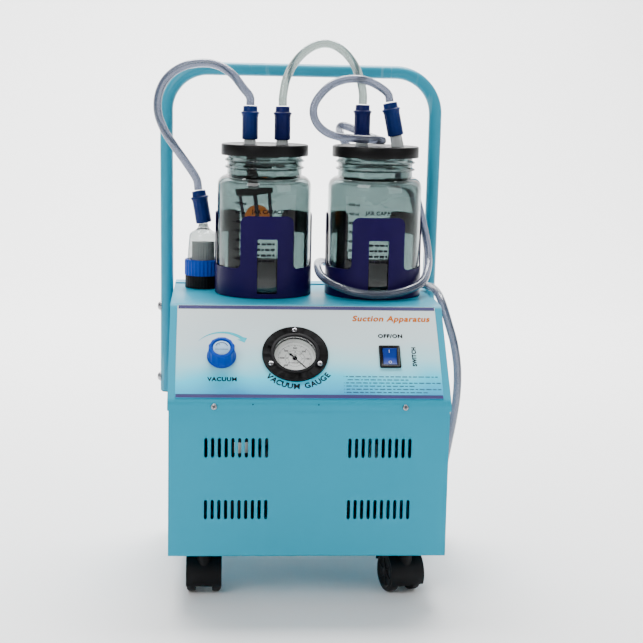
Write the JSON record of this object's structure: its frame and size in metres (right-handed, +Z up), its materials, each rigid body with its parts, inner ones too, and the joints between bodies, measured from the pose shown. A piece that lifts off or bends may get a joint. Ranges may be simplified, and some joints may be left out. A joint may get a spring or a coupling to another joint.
{
  "type": "suction pump",
  "caption": "Portable medical suction pump: a sheet-steel cabinet on casters with a sloping gauge panel, glass collection jars in holders, a filter, hoses and a U handle.",
  "frame": {"origin": "on the floor, under the middle of the cabinet", "axes": "+Z up, the control panel faces -Y, +X is to the right of someone facing the panel"},
  "size_m": [0.4064, 0.4942, 0.686],
  "materials": {
    "turquoise_powder_coat": "gloss powder coat",
    "indigo_paint": "gloss paint",
    "black_plastic": "fine texture",
    "tread_plastic": "smooth tread",
    "blue_rubber": "satin",
    "royal_blue_plastic": "gloss",
    "jar_glass": "clear",
    "clear_plastic": "clear",
    "hose_plastic": "clear, bluish",
    "zinc_plated_steel": "bright plated",
    "white_plastic": "satin",
    "overlay_film": "satin film",
    "orange_plastic": "gloss",
    "cast_aluminium": "as cast",
    "brass": "machined"
  },
  "bodies": {
    "cabinet": {"lower_cabinet": "turquoise_powder_coat", "top_cover": "turquoise_powder_coat", "rear_panel": "turquoise_powder_coat", "handle": "turquoise_powder_coat", "jar_holder_1": "indigo_paint", "jar_holder_2": "indigo_paint", "control_overlay": "overlay_film", "power_inlet": "black_plastic", "gauge_case": "black_plastic", "switch_housing": "black_plastic", "jar_lid_1": "black_plastic", "jar_lid_2": "black_plastic", "float_cage": "black_plastic", "filter_base": "black_plastic", "cover_screw_1": "zinc_plated_steel", "cover_screw_2": "zinc_plated_steel", "gauge_screw_1": "zinc_plated_steel", "gauge_screw_2": "zinc_plated_steel", "gauge_screw_3": "zinc_plated_steel", "handle_bolt_1": "zinc_plated_steel", "handle_bolt_2": "zinc_plated_steel", "handle_bolt_3": "zinc_plated_steel", "handle_bolt_4": "zinc_plated_steel", "pump_bracket": "zinc_plated_steel", "gauge_dial": "white_plastic", "filter_element": "white_plastic", "exhaust_muffler": "white_plastic", "gauge_glass": "clear_plastic", "lid_insert_1": "clear_plastic", "lid_insert_2": "clear_plastic", "filter_cup": "clear_plastic", "patient_fitting": "clear_plastic", "regulator_valve": "brass", "filter_ring": "royal_blue_plastic", "jar_1": "jar_glass", "jar_2": "jar_glass", "hose_connector_a": "blue_rubber", "hose_connector_b": "blue_rubber", "hose_connector_c": "blue_rubber", "hose_connector_d": "blue_rubber", "filter_connector": "blue_rubber", "filter_hose": "hose_plastic", "transfer_hose": "hose_plastic", "patient_hose": "hose_plastic", "patient_hose_coil": "hose_plastic", "pump_motor": "cast_aluminium", "pump_head": "cast_aluminium"},
    "vacuum_knob_body": {"vacuum_knob": "royal_blue_plastic"},
    "switch_rocker_body": {"switch_rocker": "royal_blue_plastic"},
    "gauge_pointer_body": {"gauge_pointer": "black_plastic"},
    "float_ball_body": {"float_ball": "orange_plastic"},
    "pump_fan_body": {"pump_fan": "white_plastic"},
    "caster_front_left_swivel_body": {"caster_front_left_hood": "black_plastic"},
    "caster_front_left_wheel_body": {"caster_front_left_wheels": "tread_plastic"},
    "caster_front_right_swivel_body": {"caster_front_right_hood": "black_plastic"},
    "caster_front_right_wheel_body": {"caster_front_right_wheels": "tread_plastic"},
    "caster_rear_left_swivel_body": {"caster_rear_left_hood": "black_plastic"},
    "caster_rear_left_wheel_body": {"caster_rear_left_wheels": "tread_plastic"},
    "caster_rear_right_swivel_body": {"caster_rear_right_hood": "black_plastic"},
    "caster_rear_right_wheel_body": {"caster_rear_right_wheels": "tread_plastic"}
  },
  "joints": [
    {"name": "caster_front_left_swivel", "type": "hinge", "parent": "cabinet", "child": "caster_front_left_swivel_body", "pos_m": [-0.1255, -0.113, 0.06], "axis": [0, 0, 1], "continuous": true},
    {"name": "caster_front_left_roll", "type": "hinge", "parent": "caster_front_left_swivel_body", "child": "caster_front_left_wheel_body", "pos_m": [-0.1255, -0.097, 0.025], "axis": [1, 0, 0], "continuous": true},
    {"name": "caster_front_right_swivel", "type": "hinge", "parent": "cabinet", "child": "caster_front_right_swivel_body", "pos_m": [0.1255, -0.113, 0.06], "axis": [0, 0, 1], "continuous": true},
    {"name": "caster_front_right_roll", "type": "hinge", "parent": "caster_front_right_swivel_body", "child": "caster_front_right_wheel_body", "pos_m": [0.12082, -0.0977, 0.025], "axis": [0.9563, 0.2924, 0], "continuous": true},
    {"name": "caster_rear_left_swivel", "type": "hinge", "parent": "cabinet", "child": "caster_rear_left_swivel_body", "pos_m": [-0.1255, 0.113, 0.06], "axis": [0, 0, 1], "continuous": true},
    {"name": "caster_rear_left_roll", "type": "hinge", "parent": "caster_rear_left_swivel_body", "child": "caster_rear_left_wheel_body", "pos_m": [-0.11799, 0.12713, 0.025], "axis": [0.8829, -0.4695, 0], "continuous": true},
    {"name": "caster_rear_right_swivel", "type": "hinge", "parent": "cabinet", "child": "caster_rear_right_swivel_body", "pos_m": [0.1255, 0.113, 0.06], "axis": [0, 0, 1], "continuous": true},
    {"name": "caster_rear_right_roll", "type": "hinge", "parent": "caster_rear_right_swivel_body", "child": "caster_rear_right_wheel_body", "pos_m": [0.12217, 0.12865, 0.025], "axis": [0.9781, 0.2079, 0], "continuous": true},
    {"name": "vacuum_knob_turn", "type": "hinge", "parent": "cabinet", "child": "vacuum_knob_body", "pos_m": [-0.106, -0.11037, 0.29996], "axis": [0, -0.6864, 0.7272], "range_deg": [-135, 135]},
    {"name": "switch_rocker_tilt", "type": "hinge", "parent": "cabinet", "child": "switch_rocker_body", "pos_m": [0.0995, -0.10827, 0.29919], "axis": [1, 0, 0], "range_deg": [-20, 0]},
    {"name": "gauge_pointer_turn", "type": "hinge", "parent": "cabinet", "child": "gauge_pointer_body", "pos_m": [-0.0165, -0.10746, 0.30271], "axis": [0, -0.6864, 0.7272], "range_deg": [0, 270]},
    {"name": "float_rise", "type": "slide", "parent": "cabinet", "child": "float_ball_body", "axis": [-0.1219, 0, 0.9925], "range_m": [0, 0.014]},
    {"name": "pump_fan_spin", "type": "hinge", "parent": "cabinet", "child": "pump_fan_body", "pos_m": [0.085, 0.02, 0.132], "axis": [1, 0, 0], "continuous": true}
  ]
}
